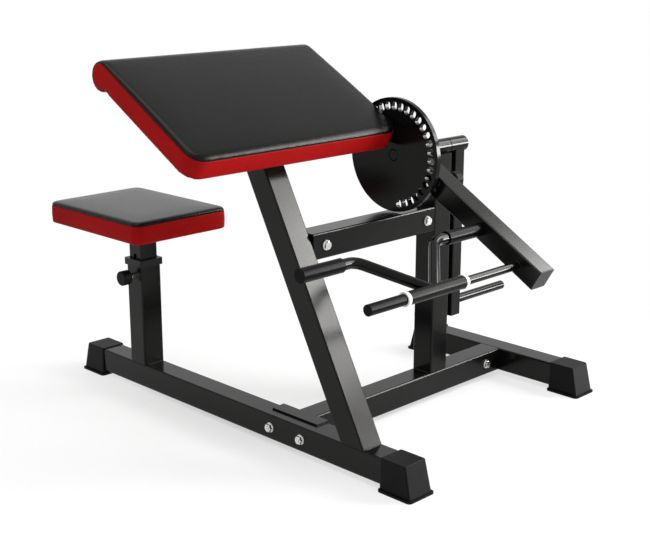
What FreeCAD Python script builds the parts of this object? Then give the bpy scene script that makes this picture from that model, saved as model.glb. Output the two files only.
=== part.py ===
import FreeCAD, Part
import math
import os

# A plate-loaded preacher curl bench. Lengths are in millimetres, angles in degrees.
# Design frame: x runs forward from the cross tube, y to the user's left from the main tube, z up from
# the floor. The finished pieces are moved so that the origin is the middle of the bench on the floor.

# Square tubes
TUBE = 60.0  # frame tubes
TUBE_WALL = 2.0
TUBE_CORNER = 4.0
SLIM_TUBE = 50.0  # curl arm and seat stem
SLIM_WALL = 2.0
SLIM_CORNER = 3.5
LEVER_TUBE = 35.0
LEVER_WALL = 2.0
LEVER_CORNER = 3.0
SPIGOT_WALL = 3.0  # short tubes inside the bolted joints

# Clearances
FIT = 0.15  # between pieces fitted into each other, on each side
RUN = 0.05  # running fit of shafts and pins, on the radius
GAP = 0.3  # least air between pieces that move past each other
HOLE_PLAY = 0.5  # bolt holes, on the radius

# Base: the main tube along x, the side tube parallel to it and the cross tube between them
SOLE = 12.0  # from the floor to the base tubes
MAIN_REAR = 766.0  # from the cross tube back to the main tube's end
MAIN_FRONT = 357.0
SIDE_STAND = 277.0  # side tube from the upright
SIDE_HALF = 258.5

# Foot caps
CAP_WALL = 3.0
CAP_GRIP = 65.0  # length over the tube
CAP_END = 4.0  # end wall
CAP_RAKE = 16.0  # the end leans out by this towards the floor
CAP_SPLAY = 2.5  # and each side by this
CAP_CORNER = 4.0
CAP_EDGE = 1.5  # bevel round the top
RIM_HEIGHT = 5.0  # rim on the floor
RIM_OUT = 5.0
RIM_IN = 3.0

# Angle flange that carries the cross tube
FLANGE_PLATE = 4.0
FLANGE_HALF = 73.0
FLANGE_LIP = 32.0  # reach over the main tube's top
FLANGE_BOLT_X = 50.0

# Frame bolts, washers and nuts
BOLT_D = 10.0
BOLT_FLATS = 17.0
BOLT_HEAD = 6.4
NUT_HEIGHT = 8.0
HEX_BEVEL = 0.48  # radius of a hexagon's flat end, as a share of its flats
BOLT_TAIL = 3.0  # thread past the nut
WASHER_OUT = 11.5  # radius
WASHER_THICK = 2.0
SIDE_BOLT_IN = 53.0  # from the side tube's face
BRACE_BOLT_NEAR = 40.0  # from the slanted post's face
BRACE_BOLT_FAR = 28.0  # from the upright's face
SPIGOT_PAST = 30.0  # spigot beyond its bolt

# Cushion bolts
STUD_D = 8.0
STUD_FLATS = 13.0
STUD_HEAD = 5.3
STUD_IN = 12.0  # into the board

# Slanted post and arm pad
POST_FOOT_X = 206.9  # centreline on the main tube's top
POST_LEAN = 27.9  # from vertical, towards the seat
PAD_SLOPE = 30.0
PAD_EDGE_X = 0.2  # lower edge of the pad's underside
PAD_EDGE_Z = 650.4
PAD_LENGTH = 374.0
PAD_WIDTH = 604.0
PAD_Y = 15.0  # middle of the pad beside the post
PAD_BAND = 48.0  # height of the side band, up to the seam
PAD_CROWN = 9.5  # top of the crown above the seam
PAD_CORNER = 36.0  # lower corners seen from above
PAD_ROLL = 33.6  # radius of the roll at the upper end
PAD_ROLL_UP = 19.0  # its middle above the underside
ROLL_TAPER = 4.5  # the roll is this much slimmer at its ends
CORNER_ANGLES = (30, 40, 50, 60, 75, 90)  # sections round the lower corners
ROLL_TOP = 80.0  # the roll's arcs meet at these angles from the slope, upwards
ROLL_END = -10.0
ROLL_LOW = -90.0
PAD_BOARD = 15.0
PAD_BOARD_END = 300.0  # upper end of the board
PAD_PLATE_LOW = 105.0  # steel plate under the pad, from the lower edge
PAD_PLATE_HIGH = 240.0
PAD_PLATE_WIDTH = 180.0
PAD_STUD_IN = 22.0  # bolts from the plate's sides
PLATE = 4.0  # both cushion plates

# Upholstery of both cushions
EDGE_ROUND = 2.5  # rounding of the sides
EDGE_RISE = 7.0  # the top's edge above the seam
EDGE_RUN = 18.0  # and its width in front
SIDE_RUN = 10.0  # and along the sides
CROWN_RUN = 110.0  # width over which the crown rises
LEAST_CROWN = 0.5  # the top still bows by this along its sides
SIDE_SWELL = 1.2  # the side band bulges by this
HEM = 3.0  # lower edge radius
BOARD_INSET = 12.0

# Brace, upright and pivot
BRACE_Z = 466.9
BRACE_GAP = 1.5  # between the brace's ends and the posts
UPRIGHT_GAP = 43.0  # from the curl arm to the upright
PIVOT_Z = 633.0
AXLE_D = 20.0
AXLE_HEAD = 14.0  # radius of the axle's head, which sits in the disc
AXLE_EDGE = 2.4  # bevel round it
BEARING_OUT = 19.0  # radius of the bearing tube and of both hubs
BUSH_OUT = 13.0  # radius of the plain bushes
BUSH_LONG = 24.0
BUSH_FLANGE = 2.0
BUSH_FLANGE_OUT = 15.8
SADDLE = 12.0  # the upright's top below the pivot
BEARING_NEAR = 14.0  # bearing tube past the upright, towards the pad
BEARING_FAR = 11.0

# Index disc
DISC_GAP = 2.5  # from the arm pad to the disc
DISC_THICK = 11.0
DISC_R = 133.5
SLOT_COUNT = 21
SLOT_PITCH = 10.0
SLOT_FIRST = -80.4  # lowest slot, from straight ahead
SLOT_WIDTH = 15.0
SLOT_LONG = 20.0
SLOT_R = 114.5

# Weight lever
HUB_LONG = 62.0
LEVER_GAP = 28.5  # from the upright's far face to the lever
LEVER_END_Z = 200.0
WEIGHT_Z = 234.0
WEIGHT_D = 23.0
WEIGHT_LONG = 192.5
WEIGHT_EDGE = 1.5
HUB_WASHER_OUT = 17.0
HUB_BOLT_LONG = 30.0
STOP_Z = 350.0
STOP_PLATE = 6.0
STOP_HALF = 25.0
STOP_LAP = 50.0  # overlap with the upright
BUMPER_R = 12.0

# Curl arm and its bar
ARM_DROP = 30.4  # below level
ARM_GAP = 15.0  # from the disc to the arm
ARM_REACH = 459.0
ARM_TAIL = 32.0
BAR_IN = 58.4  # bar from the arm's end
BAR_BELOW = 3.7  # under the arm's centreline
BAR_D = 19.0
JOURNAL_D = 16.0  # part of the bar inside the swivel
STUB_OUT = 12.0  # radius of the sleeve on the bar's free end
STUB_LONG = 104.7
PLUG_LIP = 3.0
PLUG_DEEP = 20.0

# Swivel handle
SWIVEL_NEAR_LONG = 85.0  # swivel tube on both sides of the handle's middle
SWIVEL_FAR_LONG = 89.0
SWIVEL_OUT = 14.2  # radius
RING_OUT = 15.5
RING_THICK = 8.0
RING_DEEP = 20.0
RING_WALL = 2.5
HANDLE_ANGLE = 149.4  # from straight ahead, upwards
GRIP_OFFSET = 124.0  # from the bar to the grips
HANDLE_BEND = 123.0  # from the handle's middle, where both rods meet, to the bends' corners
BEND_R = 50.0
HANDLE_ROD = 12.0  # radius
GRIP_START = 163.0
GRIP_END = 273.0
GRIP_WALL = 3.2
GRIP_CAP = 3.0
GRIP_CLEAR = 2.0  # from the far grip's end to the arm

# Seat
SEAT_POST_X = -551.0
SEAT_POST_TOP = 329.0
COLLAR_RIM = 17.0
COLLAR_OVER = 4.5
COLLAR_DEEP = 70.0
SEAT_X = -578.5  # middle of the cushion
SEAT_Y = 7.3
SEAT_Z = 423.7  # underside of the cushion
SEAT_LENGTH = 372.0
SEAT_WIDTH = 281.0
SEAT_BAND = 47.0
SEAT_CROWN = 7.2
SEAT_EDGE_RISE = 6.5
SEAT_EDGE_RUN = 9.0
CROWN_STEPS = (0.35, 0.65, 1.0)  # sections of the seat's crown, as shares of its width
SEAT_CORNER = 22.0
SEAT_BOARD = 12.0
SEAT_PLATE_HALF = 75.0
SEAT_STUD = 58.0
STEM_LONG = 289.0
SEAT_STEP = 50.0  # spacing of the holes
SEAT_UP = 2  # settings above and below the middle one
SEAT_DOWN = 1

# Spring pins
PIN_D = 12.0
PIN_STEM_D = 8.0
KNOB_D = 37.0
KNOB_LONG = 24.0
KNOB_EDGE = 3.0
SEAT_PIN_Z = 303.0
PIN_BUSH_OUT = 9.2
PIN_BUSH_LONG = 14.0
PIN_BUSH_WALL = 2.0
PIN_COLLAR_R = 7.2
PIN_COLLAR = 2.0
PIN_STEM = 18.0  # from the tube's face to the knob
SPRING_WIRE = 0.4  # radius
SPRING_TURNS = 3

X_AXIS = FreeCAD.Vector(1, 0, 0)
Y_AXIS = FreeCAD.Vector(0, 1, 0)
Z_AXIS = FreeCAD.Vector(0, 0, 1)

BASE_TOP = SOLE + TUBE
BASE_MID = SOLE + TUBE / 2
HALF = TUBE / 2
SLIM_HALF = SLIM_TUBE / 2
SPIGOT = TUBE - 2 * TUBE_WALL - 2 * FIT
DISC_Y = PAD_Y + PAD_WIDTH / 2 + DISC_GAP
DISC_BACK = DISC_Y + DISC_THICK
ARM_Y = DISC_BACK + ARM_GAP
UPRIGHT_NEAR = ARM_Y + SLIM_TUBE + UPRIGHT_GAP
UPRIGHT_Y = UPRIGHT_NEAR + HALF
UPRIGHT_FAR = UPRIGHT_Y + HALF
SIDE_Y = UPRIGHT_Y + SIDE_STAND
BEARING_START = UPRIGHT_NEAR - BEARING_NEAR
BEARING_END = UPRIGHT_FAR + BEARING_FAR
HUB_START = BEARING_END + BUSH_FLANGE + GAP
HUB_END = HUB_START + HUB_LONG
LEVER_Y = UPRIGHT_FAR + LEVER_GAP
ARM_HUB_START = DISC_BACK + GAP + BUSH_FLANGE
ARM_HUB_END = BEARING_START - 2 * BUSH_FLANGE - GAP
STEM_TOP = SEAT_Z - PLATE
DROP = math.radians(ARM_DROP)
HANDLE_MID = ARM_Y - GRIP_CLEAR - GRIP_CAP - GRIP_END
SWIVEL_NEAR = HANDLE_MID - SWIVEL_NEAR_LONG
SWIVEL_FAR = HANDLE_MID + SWIVEL_FAR_LONG
STUB_START = SWIVEL_NEAR - RING_THICK - GAP
BAR_END_Y = STUB_START - STUB_LONG
BAR_REACH = ARM_REACH - BAR_IN
BAR_X = BAR_REACH * math.cos(DROP) - BAR_BELOW * math.sin(DROP)
BAR_Z = PIVOT_Z - BAR_REACH * math.sin(DROP) - BAR_BELOW * math.cos(DROP)

# The bench's box: its rear foot, the end of the arm, the pad's near side and the side feet
CAP_OUT = CAP_END + CAP_RAKE + RIM_OUT
BOX_REAR = -MAIN_REAR - CAP_OUT
BOX_FRONT = ARM_REACH * math.cos(DROP) + SLIM_HALF * math.sin(DROP)
BOX_NEAR = PAD_Y - PAD_WIDTH / 2
BOX_FAR = SIDE_Y + HALF + CAP_WALL + CAP_SPLAY + RIM_OUT
ORIGIN = FreeCAD.Vector((BOX_REAR + BOX_FRONT) / 2, (BOX_NEAR + BOX_FAR) / 2, 0)


def at(x, y, z):
    return FreeCAD.Vector(x, y, z)


def block(x0, x1, y0, y1, z0, z1):
    return Part.makeBox(x1 - x0, y1 - y0, z1 - z0, at(x0, y0, z0))


def rod(start, axis, radius, length):
    return Part.makeCylinder(radius, length, start, axis)


def ring(start, axis, outer, inner, length):
    return rod(start, axis, outer, length).cut(rod(start, axis, inner, length))


def aim(shape, start, axis):
    """Lays a shape that was drawn along z from the origin along another axis."""
    shape.Placement = FreeCAD.Placement(start, FreeCAD.Rotation(Z_AXIS, axis))
    return shape


def arc(a, middle, b):
    return Part.Arc(a, middle, b).toShape()


def outline(x0, x1, y0, y1, corner, z):
    """Closed rectangle with round corners, level at height z."""
    slack = corner * (1 - math.sqrt(0.5))
    edges = []
    corners = [(x1, y1, 1, 1), (x0, y1, -1, 1), (x0, y0, -1, -1), (x1, y0, 1, -1)]
    ends = []
    for x, y, sx, sy in corners:
        along_x = at(x - sx * corner, y, z)
        along_y = at(x, y - sy * corner, z)
        middle = at(x - sx * slack, y - sy * slack, z)
        first, last = (along_y, along_x) if sx == sy else (along_x, along_y)
        ends.append((first, middle, last))
    for i, (first, middle, last) in enumerate(ends):
        edges.append(arc(first, middle, last))
        edges.append(Part.LineSegment(last, ends[(i + 1) % len(ends)][0]).toShape())
    return Part.Wire(edges)


def square_outline(side, corner, z=0.0):
    return outline(-side / 2, side / 2, -side / 2, side / 2, corner, z)


def square_bar(side, corner, length):
    return Part.Face(square_outline(side, corner)).extrude(Z_AXIS * length)


def square_tube(side, wall, corner, length):
    inner = square_bar(side - 2 * wall, max(corner - wall, wall / 2), length)
    return square_bar(side, corner, length).cut(inner)


def frame_tube(start, axis, length):
    return aim(square_tube(TUBE, TUBE_WALL, TUBE_CORNER, length), start, axis)


def spigot(start, axis, length):
    return aim(square_tube(SPIGOT, SPIGOT_WALL, TUBE_CORNER - TUBE_WALL, length), start, axis)


def end_plug(side, wall, corner):
    """Cap over a tube's end: the lip starts at the origin and the insert runs back along -z."""
    insert = square_bar(side - 2 * wall - 2 * FIT, max(corner - wall, wall / 2), PLUG_DEEP)
    insert.translate(Z_AXIS * -PLUG_DEEP)
    return square_bar(side, corner, PLUG_LIP).fuse(insert)


def hexagon(start, axis, flats, height):
    """Hexagon with its far corners bevelled."""
    radius = flats / math.sqrt(3)
    turns = [i * math.pi / 3 for i in range(7)]
    points = [at(radius * math.cos(turn), radius * math.sin(turn), 0) for turn in turns]
    prism = Part.Face(Part.makePolygon(points)).extrude(Z_AXIS * height)
    flat_end = flats * HEX_BEVEL
    bevel = Part.makeCone(flat_end + height * math.sqrt(3), flat_end, height)
    return aim(prism.common(bevel), start, axis)


def bolt(seat, axis, size, length, flats, head):
    """Hex bolt: the head's underside is at seat, and the shank runs along axis."""
    return rod(seat, axis, size / 2, length).fuse(hexagon(seat, axis * -1, flats, head))


def bolt_hole(point, axis, length):
    """Cutter through length on both sides of a point."""
    return rod(point - axis * length, axis, BOLT_D / 2 + HOLE_PLAY, 2 * length)


def group(shapes):
    return Part.makeCompound(shapes)


def helix(start, axis, radius, length):
    """Coil of round wire, drawn as quarter-turn arcs."""
    quarters = SPRING_TURNS * 4
    rise = (length - 2 * SPRING_WIRE) / quarters

    def point(quarter):
        turn = quarter * math.pi / 2
        return at(radius * math.cos(turn), radius * math.sin(turn), SPRING_WIRE + rise * quarter)

    path = Part.Wire([arc(point(i), point(i + 0.5), point(i + 1)) for i in range(quarters)])
    heading = at(0, radius * math.pi / 2, rise)
    profile = Part.Wire(Part.makeCircle(SPRING_WIRE, point(0), heading))
    return aim(path.makePipeShell([profile], True, False), start, axis)


# Base frame

def flange_bolt_points():
    return [at(side * FLANGE_BOLT_X, 0, BASE_MID) for side in (-1, 1)]


def side_bolt_point():
    return at(0, SIDE_Y - HALF - SIDE_BOLT_IN, BASE_MID)


def brace_bolt_points():
    return [at(0, HALF + BRACE_BOLT_NEAR, BRACE_Z), at(0, UPRIGHT_NEAR - BRACE_BOLT_FAR, BRACE_Z)]


def base_tubes():
    main = frame_tube(at(-MAIN_REAR, 0, BASE_MID), X_AXIS, MAIN_REAR + MAIN_FRONT)
    for point in flange_bolt_points():
        main = main.cut(bolt_hole(point, Y_AXIS, TUBE))
    start = HALF + FLANGE_PLATE
    cross = frame_tube(at(0, start, BASE_MID), Y_AXIS, SIDE_Y - HALF - start)
    cross = cross.cut(bolt_hole(side_bolt_point(), X_AXIS, TUBE))
    side = frame_tube(at(-SIDE_HALF, SIDE_Y, BASE_MID), X_AXIS, 2 * SIDE_HALF)
    return {"main_base_tube": main, "cross_base_tube": cross, "side_base_tube": side}


def foot_cap():
    """Slip-on foot for a tube that runs along x and ends at the origin."""
    top = BASE_TOP + CAP_WALL
    half = HALF + CAP_WALL
    foot = half + CAP_SPLAY
    sections = [
        outline(-CAP_GRIP, CAP_END + CAP_RAKE, -foot, foot, CAP_CORNER, RIM_HEIGHT),
        outline(-CAP_GRIP, CAP_END, -half, half, CAP_CORNER, top - CAP_EDGE),
        outline(CAP_EDGE - CAP_GRIP, CAP_END - CAP_EDGE, CAP_EDGE - half, half - CAP_EDGE, CAP_CORNER, top),
    ]
    body = Part.makeLoft(sections, True, True)
    edge = foot + RIM_OUT
    rim = Part.Face(outline(-CAP_GRIP - RIM_IN, CAP_OUT, -edge, edge, CAP_CORNER + RIM_OUT, 0))
    reach = HALF + FIT
    pocket = block(-CAP_GRIP - CAP_OUT, FIT, -reach, reach, SOLE - FIT, BASE_TOP + FIT)
    return body.fuse(rim.extrude(Z_AXIS * RIM_HEIGHT)).cut(pocket)


def foot_caps():
    places = {
        "foot_cap_rear": (-MAIN_REAR, 0, -1),
        "foot_cap_front": (MAIN_FRONT, 0, 1),
        "foot_cap_side_rear": (-SIDE_HALF, SIDE_Y, -1),
        "foot_cap_side_front": (SIDE_HALF, SIDE_Y, 1),
    }
    caps = {}
    for name, (x, y, facing) in places.items():
        cap = foot_cap()
        turn = FreeCAD.Rotation(Z_AXIS, 0 if facing > 0 else 180)
        cap.Placement = FreeCAD.Placement(at(x, y, 0), turn)
        caps[name] = cap
    return caps


def cross_flange():
    """Angle plate: one leg on the main tube's side, the other on its top."""
    leg = block(-FLANGE_HALF, FLANGE_HALF, HALF, HALF + FLANGE_PLATE, SOLE, BASE_TOP + FLANGE_PLATE)
    lip = block(-FLANGE_HALF, FLANGE_HALF, HALF - FLANGE_LIP, HALF, BASE_TOP, BASE_TOP + FLANGE_PLATE)
    plate = leg.fuse(lip).removeSplitter()
    for point in flange_bolt_points():
        plate = plate.cut(bolt_hole(point, Y_AXIS, TUBE))
    return plate


def joint_spigots():
    length = SIDE_BOLT_IN + SPIGOT_PAST
    side = spigot(at(0, SIDE_Y - HALF, BASE_MID), Y_AXIS * -1, length)
    near = spigot(at(0, HALF, BRACE_Z), Y_AXIS, BRACE_BOLT_NEAR + SPIGOT_PAST)
    far = spigot(at(0, UPRIGHT_NEAR, BRACE_Z), Y_AXIS * -1, BRACE_BOLT_FAR + SPIGOT_PAST)
    near_point, far_point = brace_bolt_points()
    near = near.cut(bolt_hole(near_point, X_AXIS, TUBE))
    far = far.cut(bolt_hole(far_point, X_AXIS, TUBE))
    side = side.cut(bolt_hole(side_bolt_point(), X_AXIS, TUBE))
    return {"side_spigot": side, "brace_spigots": group([near, far])}


def frame_fasteners():
    """Bolts with a washer under the head and one under the nut."""
    shank = TUBE + FLANGE_PLATE + 2 * WASHER_THICK + NUT_HEIGHT + BOLT_TAIL
    sets = [(point, Y_AXIS * -1, HALF + FLANGE_PLATE) for point in flange_bolt_points()]
    sets += [(point, X_AXIS * -1, HALF) for point in [side_bolt_point()] + brace_bolt_points()]
    bolts, washers, nuts = [], [], []
    for point, axis, head_side in sets:
        head_face = point - axis * head_side
        nut_face = point + axis * HALF
        bolts.append(bolt(head_face - axis * WASHER_THICK, axis, BOLT_D, shank, BOLT_FLATS, BOLT_HEAD))
        for face, out in ((head_face, axis * -1), (nut_face, axis)):
            washers.append(ring(face, out, WASHER_OUT, BOLT_D / 2 + FIT, WASHER_THICK))
        nut = hexagon(nut_face + axis * WASHER_THICK, axis, BOLT_FLATS, NUT_HEIGHT)
        nuts.append(nut.cut(rod(point, axis, BOLT_D / 2 + FIT, 2 * TUBE)))
    return {"frame_bolts": group(bolts), "frame_washers": group(washers), "frame_nuts": group(nuts)}


# Slanted post and arm pad

def pad_place(shape):
    """Moves a shape from the pad's own frame, where x runs down the slope and z is square to it."""
    shape.Placement = FreeCAD.Placement(at(PAD_EDGE_X, 0, PAD_EDGE_Z), FreeCAD.Rotation(Y_AXIS, PAD_SLOPE))
    return shape


def slanted_post():
    lean = math.radians(POST_LEAN)
    axis = at(-math.sin(lean), 0, math.cos(lean))
    reach = PAD_EDGE_Z + PAD_LENGTH
    post = frame_tube(at(POST_FOOT_X, 0, BASE_TOP) - axis * TUBE, axis, reach)
    above_base = block(-2 * reach, 2 * reach, -TUBE, TUBE, BASE_TOP, 2 * reach)
    under_pad = pad_place(block(-2 * reach, 2 * reach, -TUBE, TUBE, -2 * reach, -PLATE))
    return post.common(above_base).common(under_pad)


def pad_stud_points():
    lows = (PAD_PLATE_LOW + PAD_STUD_IN, PAD_PLATE_HIGH - PAD_STUD_IN)
    side = PAD_PLATE_WIDTH / 2 - PAD_STUD_IN
    return [at(-u, y, -PLATE) for u in lows for y in (-side, side)]


def stud_hole(point):
    return rod(point, Z_AXIS, STUD_D / 2 + FIT, PLATE + STUD_IN + FIT)


def studs(points):
    return [bolt(point, Z_AXIS, STUD_D, PLATE + STUD_IN, STUD_FLATS, STUD_HEAD) for point in points]


def drawn_in(distance):
    """How far the upholstery is pulled in at a distance from the cushion's side."""
    if distance >= EDGE_ROUND:
        return 0.0
    return EDGE_ROUND - math.sqrt(EDGE_ROUND ** 2 - (EDGE_ROUND - distance) ** 2)


def level_arc(run, rise):
    """Middle point of an arc that rises by rise over run and ends level."""
    chord = math.hypot(run, rise)
    bow = chord / 2 * math.tan(math.atan2(rise, run) / 2)
    return run / 2 - bow * rise / chord, rise / 2 + bow * run / chord


def pad_section(y, inset, front, rise, crown, taper):
    """The arm cushion's outline in one plane across its width, u up the slope and n square to it."""
    middle_u = PAD_LENGTH - PAD_ROLL
    roll = PAD_ROLL - inset - taper

    def p(u, n):
        return at(-u, y, n)

    def on_roll(angle):
        turn = math.radians(angle)
        return p(middle_u + roll * math.cos(turn), PAD_ROLL_UP + roll * math.sin(turn))

    meet = -180 + math.degrees(math.asin((PAD_ROLL_UP - inset) / roll))
    low, high = inset + HEM, PAD_BAND - HEM / 2
    slack = HEM * (1 - math.sqrt(0.5))
    hem_in, hem_out = p(front + HEM, inset), p(front, low)
    seam, edge = p(front, high), p(front + EDGE_RUN, PAD_BAND + rise)
    bow_run, bow_rise = level_arc(EDGE_RUN, PAD_BAND + rise - high)
    edge_middle = p(front + bow_run, high + bow_rise)
    edges = [
        Part.LineSegment(on_roll(meet), hem_in).toShape(),
        arc(hem_in, p(front + slack, inset + slack), hem_out),
        arc(hem_out, p(front - SIDE_SWELL, (low + high) / 2), seam),
        arc(seam, edge_middle, edge),
        arc(edge, p((front + middle_u) / 2, PAD_BAND + crown), on_roll(ROLL_TOP)),
        arc(on_roll(ROLL_TOP), on_roll((ROLL_TOP + ROLL_END) / 2), on_roll(ROLL_END)),
        arc(on_roll(ROLL_END), on_roll((ROLL_END + ROLL_LOW) / 2), on_roll(ROLL_LOW)),
        arc(on_roll(ROLL_LOW), on_roll((meet + ROLL_LOW) / 2), on_roll(meet)),
    ]
    return Part.Wire(edges)


def arm_cushion():
    """Lofted across the pad, from one drawn-in side over the crown to the other."""
    half = PAD_WIDTH / 2
    depths = [0, EDGE_ROUND / 4, EDGE_ROUND]
    depths += [PAD_CORNER * (1 - math.cos(math.radians(angle))) for angle in CORNER_ANGLES]
    depths += [CROWN_RUN / 2, CROWN_RUN]
    sections = []
    for depth in depths:
        cut = 0.0
        if depth < PAD_CORNER:
            cut = PAD_CORNER - math.sqrt(PAD_CORNER ** 2 - (PAD_CORNER - depth) ** 2)
        roll_in = 1 - min(depth / SIDE_RUN, 1)
        rise = EDGE_RISE * math.sqrt(1 - roll_in ** 2)
        taper = ROLL_TAPER * (1 - math.sqrt(1 - roll_in ** 2))
        swell = 1 - (1 - min(depth / CROWN_RUN, 1)) ** 2
        crown = rise + LEAST_CROWN + (PAD_CROWN - LEAST_CROWN - EDGE_RISE) * swell
        sections.append((half - depth, drawn_in(depth), cut + SIDE_SWELL, rise, crown, taper))
    near = [pad_section(PAD_Y - y, *rest) for y, *rest in sections]
    far = [pad_section(PAD_Y + y, *rest) for y, *rest in reversed(sections)]
    cushion = Part.makeLoft(near + far, True, True)
    return pad_place(cushion.cut(pad_board_blank(FIT)))


def pad_board_blank(play):
    half = PAD_WIDTH / 2 - BOARD_INSET + play
    near, far = PAD_Y - half, PAD_Y + half
    board = outline(-PAD_BOARD_END - play, play - BOARD_INSET, near, far, PAD_CORNER - BOARD_INSET, 0)
    return Part.Face(board).extrude(Z_AXIS * (PAD_BOARD + play))


def arm_pad():
    half = PAD_PLATE_WIDTH / 2
    plate = block(-PAD_PLATE_HIGH, -PAD_PLATE_LOW, -half, half, -PLATE, 0)
    board = pad_board_blank(0)
    for point in pad_stud_points():
        plate = plate.cut(stud_hole(point))
        board = board.cut(stud_hole(point))
    return {
        "slanted_post": slanted_post(),
        "arm_pad_plate": pad_place(plate),
        "arm_pad_board": pad_place(board),
        "arm_pad_cushion": arm_cushion(),
        "arm_pad_bolts": group([pad_place(stud) for stud in studs(pad_stud_points())]),
    }


# Brace, upright and pivot bearing

def pivot_rod(start, end, radius):
    return rod(at(0, start, PIVOT_Z), Y_AXIS, radius, end - start)


def plain_bush(face, inward):
    """Flanged bush on the pivot, its flange outside the tube whose end is at face."""
    axis = Y_AXIS * inward
    start = at(0, face, PIVOT_Z)
    flange = rod(start, axis * -1, BUSH_FLANGE_OUT, BUSH_FLANGE)
    body = rod(start, axis, BUSH_OUT - FIT, BUSH_LONG)
    return flange.fuse(body).cut(rod(at(0, DISC_Y, PIVOT_Z), Y_AXIS, AXLE_D / 2 + RUN, HUB_END))


def upright_and_brace():
    start = HALF + BRACE_GAP
    brace = frame_tube(at(0, start, BRACE_Z), Y_AXIS, UPRIGHT_NEAR - BRACE_GAP - start)
    for point in brace_bolt_points():
        brace = brace.cut(bolt_hole(point, X_AXIS, TUBE))
    top = PIVOT_Z - SADDLE
    upright = frame_tube(at(0, UPRIGHT_Y, BASE_TOP), Z_AXIS, top - BASE_TOP)
    lid = aim(square_bar(TUBE, TUBE_CORNER, TUBE_WALL), at(0, UPRIGHT_Y, top - TUBE_WALL), Z_AXIS)
    upright = upright.fuse(lid).removeSplitter()
    bearing = pivot_rod(BEARING_START, BEARING_END, BEARING_OUT)
    tube = bearing.cut(pivot_rod(BEARING_START, BEARING_END, BUSH_OUT))
    return {
        "brace_tube": brace,
        "upright_post": upright.cut(bearing),
        "pivot_bearing_tube": tube,
        "pivot_bushes": group([plain_bush(BEARING_START, 1), plain_bush(BEARING_END, -1)]),
    }


def lever_stop():
    """Plate on the upright's rear face and the rubber bumper that the lever rests on."""
    rear = -HALF - STOP_PLATE
    far = LEVER_Y + LEVER_TUBE
    plate = block(rear, -HALF, UPRIGHT_FAR - STOP_LAP, far, STOP_Z - STOP_HALF, STOP_Z + STOP_HALF)
    bumper = rod(at(-HALF, LEVER_Y + LEVER_TUBE / 2, STOP_Z), X_AXIS, BUMPER_R, HALF - LEVER_TUBE / 2 - GAP)
    return {"lever_stop_plate": plate, "lever_stop_bumper": bumper}


# Swinging disc, axle and weight lever

def index_disc():
    disc = pivot_rod(DISC_Y, DISC_BACK, DISC_R).cut(pivot_rod(DISC_Y, DISC_BACK, AXLE_HEAD))
    half = SLOT_WIDTH / 2
    straight = (SLOT_LONG - SLOT_WIDTH) / 2
    for i in range(SLOT_COUNT):
        inner = rod(at(SLOT_R - straight, DISC_Y, 0), Y_AXIS, half, DISC_THICK)
        outer = rod(at(SLOT_R + straight, DISC_Y, 0), Y_AXIS, half, DISC_THICK)
        middle = block(SLOT_R - straight, SLOT_R + straight, DISC_Y, DISC_BACK, -half, half)
        slot = inner.fuse([outer, middle])
        turn = FreeCAD.Rotation(Y_AXIS, -(SLOT_FIRST + i * SLOT_PITCH))
        slot.Placement = FreeCAD.Placement(at(0, 0, PIVOT_Z), turn)
        disc = disc.cut(slot)
    return disc


def hub_bolt_set():
    """Bolt and wide washer in the axle's end, which hold the hub on."""
    washer = ring(at(0, HUB_END, PIVOT_Z), Y_AXIS, HUB_WASHER_OUT, BOLT_D / 2 + FIT, WASHER_THICK)
    seat = at(0, HUB_END + WASHER_THICK, PIVOT_Z)
    return group([washer, bolt(seat, Y_AXIS * -1, BOLT_D, HUB_BOLT_LONG, BOLT_FLATS, BOLT_HEAD)])


def weight_lever():
    hub_solid = pivot_rod(HUB_START, HUB_END, BEARING_OUT)
    lever_mid = LEVER_Y + LEVER_TUBE / 2
    tube = square_tube(LEVER_TUBE, LEVER_WALL, LEVER_CORNER, PIVOT_Z - LEVER_END_Z - PLUG_LIP)
    lever = aim(tube, at(0, lever_mid, LEVER_END_Z + PLUG_LIP), Z_AXIS)
    lever_far = LEVER_Y + LEVER_TUBE
    top = PIVOT_Z - BEARING_OUT / 2
    above = block(-LEVER_TUBE, LEVER_TUBE, LEVER_Y, lever_far, top, 2 * PIVOT_Z)
    end = at(0, lever_mid, LEVER_END_Z + PLUG_LIP)
    post = rod(at(0, lever_far, WEIGHT_Z), Y_AXIS, WEIGHT_D / 2, WEIGHT_LONG)
    tip = [edge for edge in post.Edges if edge.CenterOfMass.y > lever_far + WEIGHT_LONG - GAP]
    head = pivot_rod(DISC_Y, DISC_BACK, AXLE_HEAD)
    rim = [edge for edge in head.Edges if edge.CenterOfMass.y < DISC_Y + GAP]
    axle = head.makeChamfer(AXLE_EDGE, rim[:1]).fuse(pivot_rod(DISC_BACK, HUB_END, AXLE_D / 2))
    return {
        "swing_axle": axle.cut(pivot_rod(HUB_END - HUB_BOLT_LONG, HUB_END, BOLT_D / 2 + FIT)),
        "lever_hub": hub_solid.cut(pivot_rod(HUB_START, HUB_END, AXLE_D / 2 + FIT)),
        "weight_lever": lever.cut(above).cut(hub_solid),
        "lever_plug": aim(end_plug(LEVER_TUBE, LEVER_WALL, LEVER_CORNER), end, Z_AXIS * -1),
        "weight_post": post.makeChamfer(WEIGHT_EDGE, tip[:1]),
        "hub_bolt_set": hub_bolt_set(),
    }


# Curl arm

def arm_place(shape):
    """Moves a shape from the arm's own frame, where x runs along the arm from the pivot."""
    drop = FreeCAD.Placement(at(0, 0, PIVOT_Z), FreeCAD.Rotation(Y_AXIS, ARM_DROP))
    shape.Placement = drop.multiply(shape.Placement)
    return shape


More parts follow.
